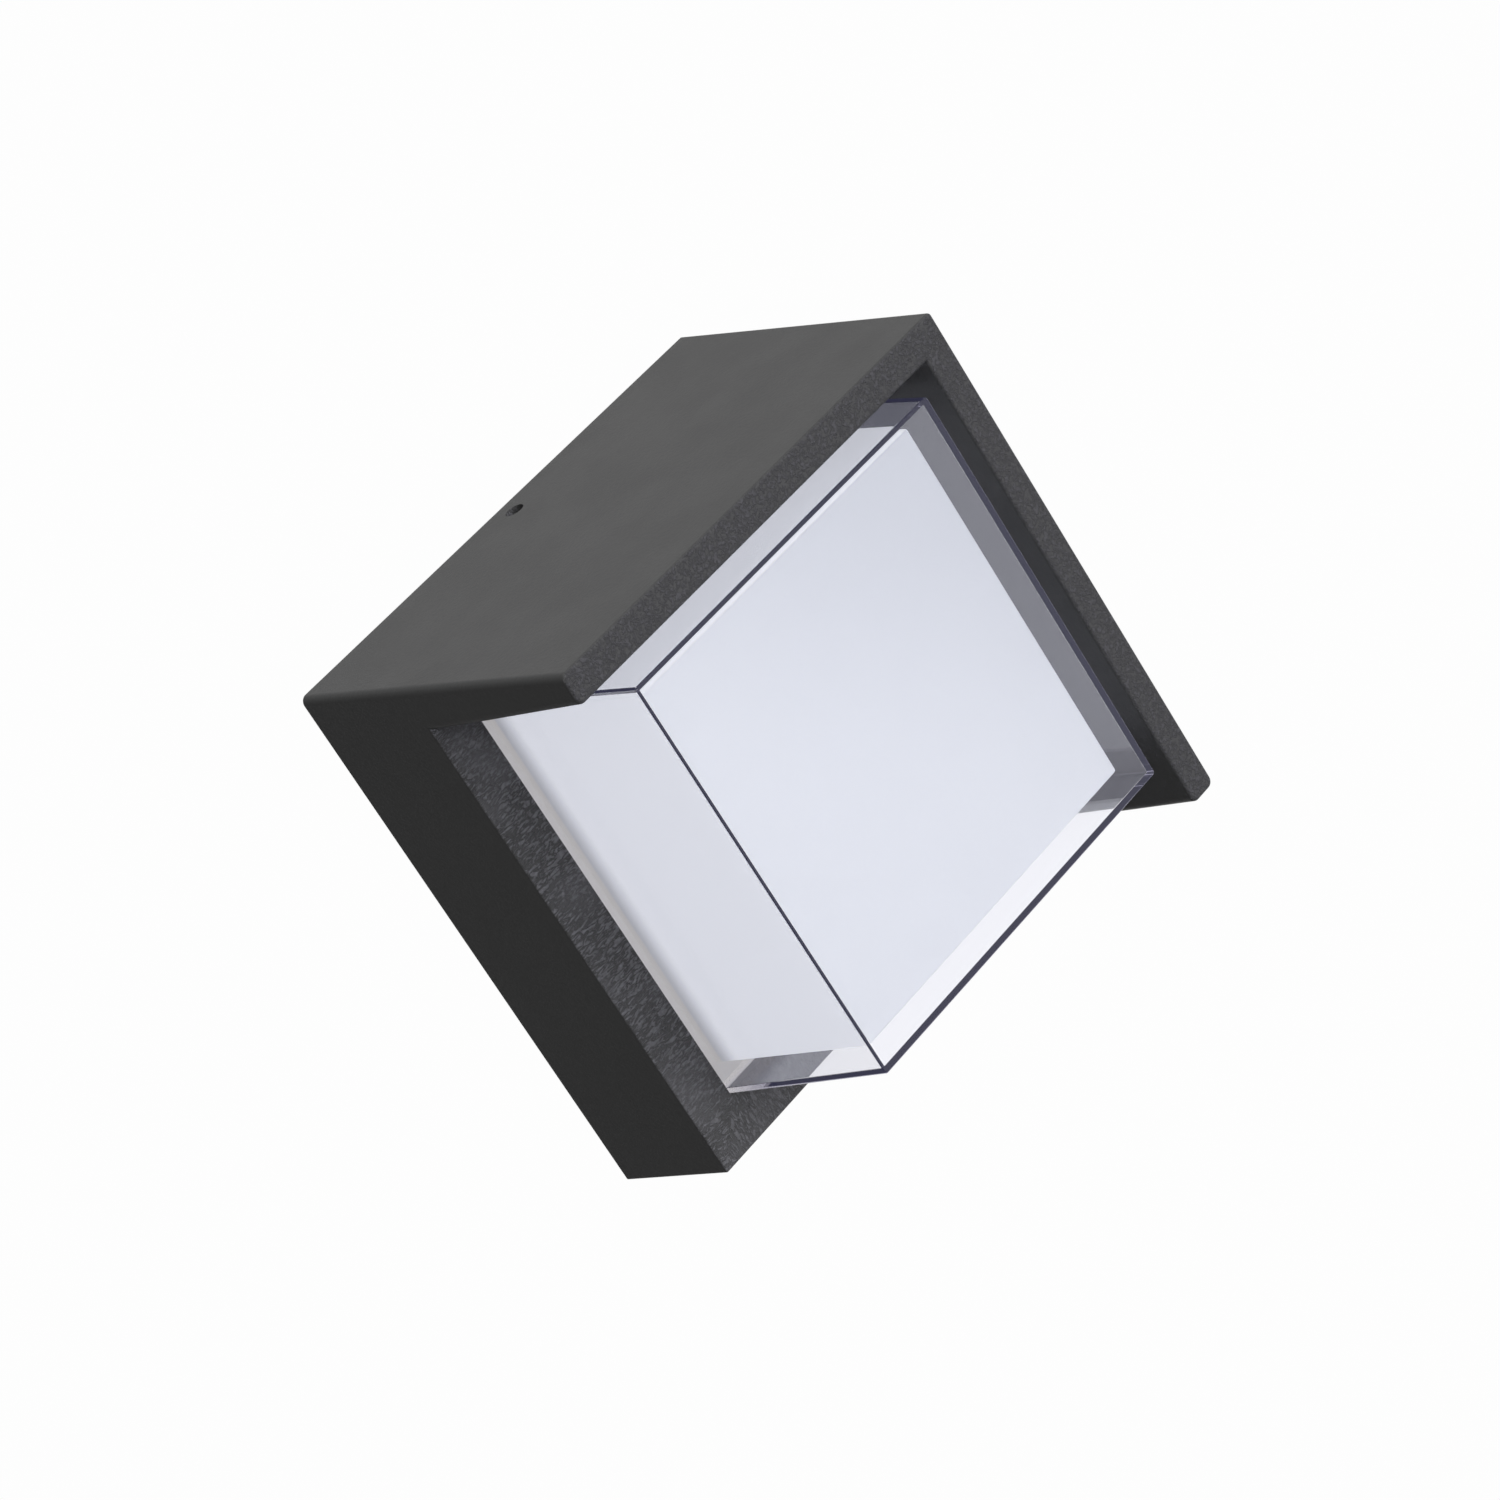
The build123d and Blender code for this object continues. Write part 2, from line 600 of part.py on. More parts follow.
WIRE_BEND = 5.0
WIRE_RUN = 27.0  # from the middle to the run beside the terminal block
RUN_BEHIND = 6.0  # how far behind the wires' entries that run lies
RUN_BELOW = 9.0  # how far below the block the wires turn
EARTH_BEND = 4.0
EARTH_BELOW = 14.0
EARTH_TURN = (8.0, 2.0)  # how far across and down the last corner is
terminal_bottom = TERMINAL_CENTRE[1] - TERMINAL[1] / 2
driver_bottom = DRIVER_CENTRE[1] - DRIVER[1] / 2
driver_left = DRIVER_CENTRE[0] - DRIVER[0] / 2
run_bottom = terminal_bottom - RUN_BELOW
for name, side in (("live_wire", 1), ("neutral_wire", -1)):
    wire(
        name, WIRE_R, WIRE_BEND,
        (side * POLE_PITCH, terminal_bottom, wire_level),
        (side * POLE_PITCH, run_bottom, wire_level),
        (side * WIRE_RUN, run_bottom, wire_level - RUN_BEHIND),
        (side * WIRE_RUN, driver_bottom, wire_level - RUN_BEHIND),
    )
earth_bottom = terminal_bottom - EARTH_BELOW
wire(
    "earth_wire", WIRE_R, EARTH_BEND,
    (0, terminal_bottom, wire_level),
    (0, earth_bottom, wire_level),
    (EARTH_PLACE[0] - EARTH_TURN[0], earth_bottom, wire_level - EARTH_TURN[1]),
    (EARTH_PLACE[0], earth_bottom - EARTH_TURN[1], barrel_level),
    (EARTH_PLACE[0], barrel_top - BARREL_LENGTH, barrel_level),
)

# ---- LED leads: from the driver, through a rubber grommet in the chassis, to the connector ----
LEAD_R = 0.75
LEAD_BEND = 3.0
LEAD_GAP = 2.0
LEAD_LEVEL = 20.0
LEAD_START = 30.0  # height at which the leads leave the driver
START_STEP, LEVEL_STEP = 2.0, 1.25  # how far each lead lies to either side of the middle
LEAD_FLANGE_R, LEAD_FLANGE_T = 4.5, 1.4
lead_top = board_front + CONNECTOR[2] / 2
with BuildPart() as wire_grommet:
    with BuildSketch(level(chassis_back)):
        with Locations(LEAD_EXIT):
            Circle(LEAD_GROMMET_R - RUNNING)
    extrude(amount=CHASSIS_T)
    with BuildSketch(level(chassis_back)):
        with Locations(LEAD_EXIT):
            Circle(LEAD_FLANGE_R)
    extrude(amount=-LEAD_FLANGE_T)
    with BuildSketch(level(chassis_back - LEAD_FLANGE_T)):
        with Locations(LEAD_EXIT):
            with GridLocations(0, LEAD_GAP, 1, 2):
                Circle(LEAD_R)
    extrude(amount=CHASSIS_T + LEAD_FLANGE_T, mode=Mode.SUBTRACT)
save(wire_grommet, "wire_grommet")

for name, side in (("led_lead_red", 1), ("led_lead_black", -1)):
    out_x, out_y = LEAD_EXIT[0], LEAD_EXIT[1] + side * LEAD_GAP / 2
    start_y = LEAD_START + START_STEP * side
    run_level = LEAD_LEVEL + LEVEL_STEP * side
    wire(
        name, LEAD_R, LEAD_BEND,
        (driver_left, start_y, run_level),
        (out_x, start_y, run_level),
        (out_x, out_y, run_level),
        (out_x, out_y, lead_top),
        (CONNECTOR_CENTRE[0] - CONNECTOR[0] / 2, out_y, lead_top),
    )

# ---- wall bracket with its cable grommet ----
BRACKET_HEIGHT = 113.2
BRACKET_CORNER_R = 4.0
BEND_R = 1.0  # outside of the ears' bends
with BuildPart() as wall_bracket:
    with BuildSketch(wall):
        RectangleRounded(BRACKET_WIDTH, BRACKET_HEIGHT, BRACKET_CORNER_R)
        Rectangle(EAR_WIDTH, 2 * EAR_FACE)
    extrude(amount=BRACKET_T)
    with BuildSketch(wall):
        with GridLocations(0, 2 * EAR_FACE - BRACKET_T, 1, 2):
            Rectangle(EAR_WIDTH, BRACKET_T)
    extrude(amount=EAR_HEIGHT)
    on_wall = wall_bracket.edges().filter_by(on_level(0))
    fillet(on_wall.filter_by(lambda e: diamond(e) > EAR_FACE - BRACKET_T / 4), BEND_R)
    with BuildSketch(wall):
        Circle(GROMMET_HUB_R)
        for turn in (45, 135, 225, 315):
            with Locations(Location((0, 0), turn)):
                with Locations((SLOT_SPACING / 2, 0)):
                    SlotOverall(SLOT_LENGTH, SLOT_WIDTH)
    extrude(amount=BRACKET_T, mode=Mode.SUBTRACT)
save(wall_bracket, "wall_bracket")

GROMMET_FLANGE_R = 10.5
GROMMET_FLANGE_T = 2.0
GROMMET_EDGE_R = 0.6
grommet_front = BRACKET_T + GROMMET_FLANGE_T
with BuildPart() as cable_grommet:
    with BuildSketch(wall):
        Circle(GROMMET_HUB_R - RUNNING)
    extrude(amount=BRACKET_T)
    with BuildSketch(level(BRACKET_T)):
        Circle(GROMMET_FLANGE_R)
    extrude(amount=GROMMET_FLANGE_T)
    fillet(cable_grommet.edges().filter_by(on_level(grommet_front)), GROMMET_EDGE_R)
    with BuildSketch(wall):
        Circle(CABLE_R)
    extrude(amount=grommet_front, mode=Mode.SUBTRACT)
save(cable_grommet, "cable_grommet")
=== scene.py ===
# %% [markdown]
# # A square outdoor wall lantern
#
# The lamp hangs on its corner. A dark die-cast housing has a shallow square base on the wall and
# a deep hood over its two upper sides. A clear moulded cover stands out of the base under the
# hood, and a white opal block stands inside that cover.
#
# The mechanical parts come from CAD as a fixed frame. This lesson gives every one of them its
# real finish, and models again the two parts whose looks depend on clean rounded walls: the
# clear cover and the opal block.

# %% Load the frame
import math

import bmesh
import bpy
from mathutils import Matrix, Quaternion, Vector


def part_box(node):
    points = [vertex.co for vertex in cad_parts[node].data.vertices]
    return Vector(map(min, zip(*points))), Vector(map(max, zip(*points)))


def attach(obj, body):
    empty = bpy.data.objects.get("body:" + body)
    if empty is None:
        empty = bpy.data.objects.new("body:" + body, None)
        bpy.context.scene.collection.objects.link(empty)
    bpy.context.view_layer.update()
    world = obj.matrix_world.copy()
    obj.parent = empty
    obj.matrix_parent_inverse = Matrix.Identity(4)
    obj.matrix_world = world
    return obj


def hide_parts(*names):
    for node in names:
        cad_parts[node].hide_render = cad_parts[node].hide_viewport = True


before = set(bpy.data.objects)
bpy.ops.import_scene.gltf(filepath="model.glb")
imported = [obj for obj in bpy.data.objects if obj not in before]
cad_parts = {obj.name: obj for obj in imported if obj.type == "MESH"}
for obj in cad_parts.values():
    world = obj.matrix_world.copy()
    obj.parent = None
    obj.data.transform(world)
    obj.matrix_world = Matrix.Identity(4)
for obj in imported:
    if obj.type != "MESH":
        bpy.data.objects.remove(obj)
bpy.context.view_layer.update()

MM = 0.001

# %% [markdown]
# ## Directions on a lamp that hangs on its corner
#
# In the row frame the wall is the plane y = 0, the lamp points along -Y and +Z is up. Its sides
# are turned by 45 degrees, so it is easier to draw a part flat: x runs up and to the right along
# the upper left side, y runs up and to the left, and z is the distance from the wall. One matrix
# then puts the drawing in its place.

# %% The lamp's own directions
TURN = math.sqrt(0.5)
LAMP_AXES = Matrix(((TURN, -TURN, 0, 0), (0, 0, -1, 0), (TURN, TURN, 0, 0), (0, 0, 0, 1)))
ALONG, ACROSS, OUTWARD = (tuple(LAMP_AXES.col[i][:3]) for i in range(3))
print("turns a drawing, determinant", round(LAMP_AXES.determinant(), 6))


# %% [markdown]
# ## The camera
#
# The lamp is seen from the left and a little from below, through a long lens, so its sides
# converge only slightly. The camera is placed by its angle and its distance from the middle of
# the back, looks at a point beside it, and leans over by a few degrees.

# %% Camera
CAMERA_AZIMUTH = math.radians(-37.26)
CAMERA_ELEVATION = math.radians(-6.53)
CAMERA_DISTANCE = 1.21338
CAMERA_AIM = Vector((0.02985, 0, 0.00457))
CAMERA_ROLL = math.radians(3.561)
CAMERA_LENS = 116.906
SENSOR_WIDTH = 36

camera_data = bpy.data.cameras.new("camera")
camera_data.sensor_width = SENSOR_WIDTH
camera_data.lens = CAMERA_LENS
camera = bpy.data.objects.new("camera", camera_data)
bpy.context.scene.collection.objects.link(camera)
camera.location = CAMERA_DISTANCE * Vector((
    math.sin(CAMERA_AZIMUTH) * math.cos(CAMERA_ELEVATION),
    -math.cos(CAMERA_AZIMUTH) * math.cos(CAMERA_ELEVATION),
    math.sin(CAMERA_ELEVATION),
))
facing = (CAMERA_AIM - camera.location).to_track_quat("-Z", "Y")
camera.rotation_euler = (facing @ Quaternion((0, 0, 1), CAMERA_ROLL)).to_euler()
bpy.context.scene.camera = camera
print("camera at", [round(x, 3) for x in camera.location])


# %% [markdown]
# ## Node trees written as sums
#
# A finish is a node tree. Adding its nodes one by one takes many lines, so a small class wraps
# an output socket: Python's own +, -, *, > and abs() on it add Math nodes, and one method, `add`,
# makes every other node from its type, its settings and what goes into its sockets.

# %% A socket that can be added and multiplied
def plug(socket, value):
    """Links a Shade to an input socket, or sets the socket to a plain value."""
    if isinstance(value, Shade):
        value.tree.links.new(value.socket, socket)
    else:
        socket.default_value = (*value, 1) if socket.type == "RGBA" else value


class Shade:
    """A node tree, with one of its output sockets once a node has been added."""

    def __init__(self, tree, socket=None):
        self.tree = tree
        self.socket = socket

    def add(self, kind, settings=None, values=None, out=0):
        """Adds a node with these properties and input values: out picks its output."""
        node = self.tree.nodes.new(kind)
        for name, value in (settings or {}).items():
            setattr(node, name, value)
        for name, value in (values or {}).items():
            plug(node.inputs[name], value)
        return Shade(self.tree, node.outputs[out])

    def maths(self, operation, first, second=0.0):
        """A Math node on two values, or on the first one only."""
        return self.add("ShaderNodeMath", {"operation": operation}, {0: first, 1: second})

    def __add__(self, other):
        return self.maths("ADD", self, other)

    def __sub__(self, other):
        return self.maths("SUBTRACT", self, other)

    def __rsub__(self, other):
        return self.maths("SUBTRACT", other, self)

    def __mul__(self, other):
        return self.maths("MULTIPLY", self, other)

    def __gt__(self, other):
        return self.maths("GREATER_THAN", self, other)

    def __abs__(self):
        return self.maths("ABSOLUTE", self)

    __radd__, __rmul__ = __add__, __mul__

    def ramp(self, low, high):
        """0 below low and 1 above high, with a smooth step between them."""
        values = {"Value": self, "From Min": low, "From Max": high}
        return self.add("ShaderNodeMapRange", {"interpolation_type": "SMOOTHSTEP"}, values)

    def along(self, direction):
        """How far a vector reaches in a direction."""
        values = {0: self, 1: direction}
        return self.add("ShaderNodeVectorMath", {"operation": "DOT_PRODUCT"}, values, "Value")

    def stretched(self, across, along, out):
        """A vector measured along the lamp's own directions, each with its own scale."""
        parts = {
            "X": self.along(ALONG) * across,
            "Y": self.along(ACROSS) * along,
            "Z": self.along(OUTWARD) * out,
        }
        return self.add("ShaderNodeCombineXYZ", None, parts)

    def noise(self, scale, detail=2.0, roughness=0.5, distortion=0.0):
        """Noise over this vector, whose scale is in features per unit of it."""
        values = {
            "Vector": self,
            "Scale": scale,
            "Detail": detail,
            "Roughness": roughness,
            "Distortion": distortion,
        }
        return self.add("ShaderNodeTexNoise", None, values, "Fac")

    def blend(self, low, high):
        """Two colours, or linked ones, mixed by this value."""
        values = {"Factor": self, 6: low, 7: high}  # 6 and 7 are the sockets for colours
        return self.add("ShaderNodeMix", {"data_type": "RGBA"}, values, 2)

    def bump(self, height, strength=1.0):
        """The normals of a surface with this height in millimetres."""
        values = {"Height": self, "Distance": height * MM, "Strength": strength}
        return self.add("ShaderNodeBump", None, values)


finishes = {}


def new_finish(name):
    """A new material: gives its object coordinates and its Principled shader."""
    material = bpy.data.materials.new(name)
    material.use_nodes = True
    finishes[name] = material
    place = Shade(material.node_tree).add("ShaderNodeTexCoord", out="Object")
    return place, material.node_tree.nodes["Principled BSDF"]


def fill(shader, **values):
    """Sets or links the shader's sockets, named with _ for a space."""
    for name, value in values.items():
        plug(shader.inputs[name.replace("_", " ")], value)


# %% [markdown]
# ## Powder coat on the casting
#
# The casting is sprayed with charcoal powder that melts in an oven. It dries to a satin skin:
# almost smooth on the large drafted sides, pebbled on the hood's rim, and gathered into fine folds
# on the base's front strips, where the coat lies thicker. The folds run across each strip. Noise
# that is squeezed in one direction makes them: its middle value draws thin crooked lines. The
# faces' normals and their distance from the wall say where each kind of skin belongs. The colour
# also holds painted light. Faces that face out get a lighter painted sheen, strongest on the
# pebbles' crests and far brighter on the base's strips than on the rim. The folds keep the dark
# plain tone as painted shade.

# %% Powder coat
RIM_LEVEL = 60 * MM  # the base's front lies behind this level and the hood's rim before it
FOLD_SQUEEZES = ((330, 1150), (1150, 330))  # one for each way that the strips run
PEBBLE_SCALE = 1050
COAT_RELIEF = 0.42  # mm


def powder_coat():
    place, shader = new_finish("powder_coat")
    normal = place.add("ShaderNodeNewGeometry", out="Normal")
    outward = place.along(OUTWARD)
    facing_out = normal.along(OUTWARD).ramp(0.35, 0.95)
    on_rim = outward.ramp(RIM_LEVEL, RIM_LEVEL + MM)
    # the folds run the other way on the upper left and lower right strips
    other_way = abs(place.along(ACROSS)) > abs(place.along(ALONG))
    runs = [place.stretched(*squeeze, 500).noise(1, 3, 0.5, 0.6) for squeeze in FOLD_SQUEEZES]
    run = runs[0] * (1 - other_way) + runs[1] * other_way
    gathered = (0.45 + 0.45 * place.noise(45, 1).ramp(0.35, 0.6)) * (1 - on_rim)
    folds = (1 - 2 * abs(run - 0.5)).ramp(0.80, 0.93) * gathered
    pebbles = place.noise(PEBBLE_SCALE, 4, 0.7).ramp(0.42, 0.60)
    # painted sheen on the faces that face out, most on pebble crests, with painted shade in the
    # folds
    painted_sheen_mask = facing_out * (0.4 + 0.6 * pebbles * (0.35 + 0.65 * on_rim)) * (1 - folds)
    height = facing_out * ((0.2 + 0.3 * on_rim) * pebbles - folds) + 0.05 * pebbles
    mottled = place.noise(60, 4).ramp(0.3, 0.7)
    plain = mottled.blend((0.042, 0.0422, 0.0424), (0.0445, 0.0448, 0.0450))
    # the lighter colour of that painted sheen: far brighter on the base's strips than on the
    # hood's rim
    light = on_rim.blend((0.215, 0.213, 0.240), (0.058, 0.057, 0.067))
    fill(
        shader,
        Base_Color=painted_sheen_mask.blend(plain, light),
        Roughness=0.44 + 0.05 * mottled + 0.06 * facing_out,
        Normal=height.bump(COAT_RELIEF, 0.9),
    )


powder_coat()
print("finishes so far", sorted(finishes))


# %% [markdown]
# ## Moulded plastics and rubbers
#
# Small mouldings share one recipe: a colour with a slight cloudiness, a roughness that varies a
# little where the mould was polished unevenly, and the fine grain of a spark-eroded mould.

# %% Moulded finishes
GRAIN_SCALE = 1500
GRAIN_HEIGHT = 0.02  # mm
CLOUDINESS = 1.12  # how much lighter the clouds are than the rest


def moulded(name, colour, roughness):
    """A plain moulding of this colour, slightly cloudy, with the grain of its mould."""
    place, shader = new_finish(name)
    clouds = place.noise(90, 3).ramp(0.3, 0.7)
    lighter = tuple(min(1, c * CLOUDINESS) for c in colour)
    fill(
        shader,
        Base_Color=clouds.blend(colour, lighter),
        Roughness=roughness + 0.08 * (clouds - 0.5),
        Normal=place.noise(GRAIN_SCALE, 3).bump(GRAIN_HEIGHT),
    )


MOULDED = {
    "black_rubber": ((0.018, 0.018, 0.019), 0.62),
    "silicone": ((0.72, 0.73, 0.74), 0.5),
    "white_plastic": ((0.74, 0.74, 0.72), 0.38),
    "black_plastic": ((0.022, 0.022, 0.024), 0.42),
    "brown_pvc": ((0.10, 0.038, 0.018), 0.38),
    "blue_pvc": ((0.015, 0.07, 0.34), 0.38),
    "red_pvc": ((0.42, 0.015, 0.015), 0.38),
    "black_pvc": ((0.014, 0.014, 0.015), 0.38),
    "capacitor_sleeve": ((0.012, 0.018, 0.07), 0.28),
    "white_film": ((0.86, 0.87, 0.88), 0.55),
    "led_yellow": ((0.78, 0.55, 0.10), 0.35),
    "ferrite": ((0.03, 0.029, 0.03), 0.7),
}
for name, (colour, roughness) in MOULDED.items():
    moulded(name, colour, roughness)
print(len(MOULDED), "moulded finishes")

# %% [markdown]
# ## Foam, earth wire and circuit boards
#
# The wall gasket is cut from closed-cell foam, so its skin shows round cells: a Voronoi pattern
# gives them. The earth wire has a yellow stripe on green. The boards have copper lines that stand
# up a little under the lacquer.

# %% Foam, stripe and boards
CELL_SCALE = 900
STRIPE_WIDTH = 1.1  # mm


def foam():
    place, shader = new_finish("grey_foam")
    values = {"Vector": place, "Scale": CELL_SCALE}
    cells = place.add("ShaderNodeTexVoronoi", None, values, "Distance")
    fill(
        shader,
        Base_Color=cells.ramp(0.1, 0.6).blend((0.045, 0.046, 0.05), (0.12, 0.122, 0.13)),
        Roughness=0.92,
        Normal=cells.bump(0.25),
    )


def earth_stripe():
    place, shader = new_finish("green_yellow_pvc")
    level = (place.along(OUTWARD) + 0.6 * MM * place.noise(40)) * (1 / MM)
    yellow = level.maths("PINGPONG", level, STRIPE_WIDTH).ramp(0.5, 0.6)
    fill(
        shader,
        Base_Color=yellow.blend((0.02, 0.22, 0.04), (0.75, 0.58, 0.03)),
        Roughness=0.38,
        Normal=place.noise(GRAIN_SCALE).bump(GRAIN_HEIGHT),
    )


def board(name, colour, copper):
    """A lacquered board of this colour, with a lighter tone over its copper lines."""
    place, shader = new_finish(name)
    lines = place.stretched(220, 60, 60).noise(1, 1).ramp(0.50, 0.54)
    fill(
        shader,
        Base_Color=lines.blend(colour, copper),
        Roughness=0.34 + 0.1 * lines,
        Normal=lines.bump(0.035),
    )


foam()
earth_stripe()
board("board_green", (0.012, 0.11, 0.035), (0.03, 0.19, 0.06))
board("board_white", (0.76, 0.77, 0.77), (0.82, 0.83, 0.83))
print("finishes so far", len(finishes))


# %% [markdown]
# ## Metals
#
# Rolled sheet, such as the bracket and the chassis plate, keeps faint lines from the rollers, and
# zinc on steel has a cloudy bloom. Turned screws shine more. Each metal is fully metallic; only
# its colour, its roughness and its lines differ.

# %% Metals
def metal(name, colour, bloom, roughness, roll_height):
    """A metal with a cloudy bloom over its colour and roll lines of this height in millimetres."""
    place, shader = new_finish(name)
    clouds = place.noise(70, 4, 0.6).ramp(0.35, 0.7)
    rolled = place.stretched(60, 2200, 400).noise(1, 3, 0.6)
    fill(
        shader,
        Base_Color=clouds.blend(colour, bloom),
        Metallic=1.0,
        Roughness=roughness + 0.14 * clouds + 0.10 * (rolled - 0.5),
        Normal=rolled.bump(roll_height),
    )


metal("zinc_steel", (0.50, 0.51, 0.53), (0.62, 0.63, 0.66), 0.34, 0.015)
metal("stainless", (0.56, 0.56, 0.56), (0.64, 0.64, 0.63), 0.20, 0.004)
metal("bare_aluminium", (0.70, 0.71, 0.72), (0.78, 0.79, 0.80), 0.32, 0.012)
metal("brass", (0.62, 0.42, 0.16), (0.70, 0.50, 0.22), 0.26, 0.004)
print("finishes so far", len(finishes))


# %% [markdown]
# ## Opal and clear plastics
#
# Opal plastic is milky: light enters one face and comes out of the others, so no side of the
# block looks dark. A weak emission is painted light: it stands for the light that crosses the
# block and also holds the light and shade around it. It is stronger on the sides than on the
# front, where it grows towards the bottom, away from the hood's painted shade, and it fades
# towards the foot, down in the base, as painted shade. The flange, and the foot's lowest edge
# beside it, share one greyer painted glow.
# The clear cover is real refracting plastic to the renderer, with a trace of violet-blue that only
# builds up where light runs a long way inside a wall, which is why its edges look dark. A faint
# violet emission over all of it is painted light.

# %% Opal and clear
FOOT = 33.5 * MM  # where the opal block rises from its flange
FOOT_EDGE = FOOT + 2 * MM  # up to here the block has its flange's painted glow
LIT_ABOVE = FOOT + 10 * MM  # the sides' painted light is full from here on, with painted shade below


def opal():
    place, shader = new_finish("opal_plastic")
    clouds = place.noise(30, 3).ramp(0.3, 0.7)
    normal = place.add("ShaderNodeNewGeometry", out="Normal")
    front = abs(normal.along(OUTWARD)).ramp(0.3, 0.9)
    outward = place.along(OUTWARD)
    risen = outward.ramp(FOOT_EDGE - 0.1 * MM, FOOT_EDGE + 0.1 * MM)
    painted_light_above_foot = outward.ramp(FOOT, LIT_ABOVE)
    # painted light on the sides, fading to painted shade at the foot
    side = painted_light_above_foot.blend((0.165, 0.171, 0.185), (0.655, 0.67, 0.715))
    painted_light_towards_bottom = place.along((0, 0, 1)).ramp(70 * MM, -20 * MM)
    # painted light on the front, darker at the top as painted shade under the hood
    face = painted_light_towards_bottom.blend((0.265, 0.280, 0.320), (0.385, 0.400, 0.440))
    block = front.blend(side, face)
    fill(
        shader,
        Base_Color=clouds.blend((0.56, 0.575, 0.60), (0.57, 0.585, 0.61)),
        Roughness=0.32 + 0.05 * clouds,
        Normal=place.noise(900, 2).bump(0.004),
        # the flange and the block's lowest 2 mm get one greyer painted glow, the rest the painted
        # light above
        Emission_Color=risen.blend((0.300, 0.285, 0.268), block),
        Emission_Strength=1.0,
    )


def clear():
    place, shader = new_finish("clear_plastic")
    smears = place.noise(45, 4, 0.6).ramp(0.4, 0.75)
    fill(
        shader,
        Base_Color=(0.996, 0.996, 1.0),
        Roughness=0.004 + 0.012 * smears,
        Transmission_Weight=1.0,
        IOR=1.49,
        # a faint painted violet glow over the whole cover
        Emission_Color=(0.55, 0.55, 1.0),
        Emission_Strength=0.010,
    )
    tree = place.tree
    violet = {"Color": (0.38, 0.38, 0.62), "Density": 20.0}
    tint = place.add("ShaderNodeVolumeAbsorption", None, violet)
    tree.links.new(tint.socket, tree.nodes["Material Output"].inputs["Volume"])


opal()
clear()
print("finishes", len(finishes))


# %% [markdown]
# ## Mouldings with thin drafted walls
#
# The clear cover and the opal block are the same kind of moulding: a square cap whose sides lean
# in towards the front, with a flange round its open back. A cube is narrowed at one end and
# bevelled, first along its corners and then round its front, once for the outside and once,
# smaller, for the inside. A rounded ring makes the flange's rim, and filling the gaps between the
# four rims joins all of it into one closed skin. So the walls have a real thickness, in which
# light can bend.

# %% Caps and rings
CORNER_STEPS = 8
EDGE_STEPS = 4
FLANGE_SIDE = 128 * MM
FLANGE_RADIUS = 9 * MM
SAME_LEVEL = 0.01 * MM


def bevelled(bm, geom, width, steps, affect="EDGES"):
    """Rounds edges, or the corners of a flat face."""
    bmesh.ops.bevel(
        bm, geom=geom, affect=affect, offset=width, offset_type="OFFSET",
        segments=steps, profile=0.5, material=-1,
    )


def at_level(edges, level):
    """The edges that lie at this distance from the wall."""
    return [e for e in edges if all(abs(v.co.z - level) < SAME_LEVEL for v in e.verts)]


def drafted_cap(back, front, side, draft, corner, edge):
    """A square cap, open at its back, in a bmesh of its own."""
    bm = bmesh.new()
    bmesh.ops.create_cube(bm, size=1)
    bmesh.ops.scale(bm, vec=(side, side, front - back), verts=bm.verts)
    bmesh.ops.translate(bm, vec=(0, 0, (front + back) / 2), verts=bm.verts)
    narrowed = 1 - 2 * (front - back) * math.tan(math.radians(draft)) / side
    front_verts = {v for e in at_level(bm.edges, front) for v in e.verts}
    bmesh.ops.scale(bm, vec=(narrowed, narrowed, 1), verts=list(front_verts))
    open_back = [f for f in bm.faces if f.normal.z < -0.9]
    bmesh.ops.delete(bm, geom=open_back, context="FACES_ONLY")
    upright = [e for e in bm.edges if abs(e.verts[0].co.z - e.verts[1].co.z) > MM]
    bevelled(bm, upright, corner, CORNER_STEPS)
    bevelled(bm, at_level(bm.edges, front), edge, EDGE_STEPS)
    return bm


def add_flange_rim(bm, back, thickness):
    """The outer rim of the flange: a rounded square ring, drawn out to the flange's thickness."""
    half_diagonal = FLANGE_SIDE / math.sqrt(2)
    eighth_turn = Matrix.Rotation(math.radians(45), 3, "Z")
    square = bmesh.ops.create_circle(bm, cap_ends=True, radius=half_diagonal, segments=4)["verts"]
    bmesh.ops.rotate(bm, matrix=eighth_turn, verts=square)
    bmesh.ops.translate(bm, vec=(0, 0, back), verts=square)
    bevelled(bm, square, FLANGE_RADIUS, CORNER_STEPS, "VERTICES")
    lid = next(f for f in bm.faces if len(f.verts) == 4 * (CORNER_STEPS + 1))
    rim = list(lid.edges)
    bmesh.ops.delete(bm, geom=[lid], context="FACES_ONLY")
    drawn = bmesh.ops.extrude_edge_only(bm, edges=rim)["geom"]
    drawn_verts = [v for v in drawn if isinstance(v, bmesh.types.BMVert)]
    bmesh.ops.translate(bm, vec=(0, 0, thickness), verts=drawn_verts)


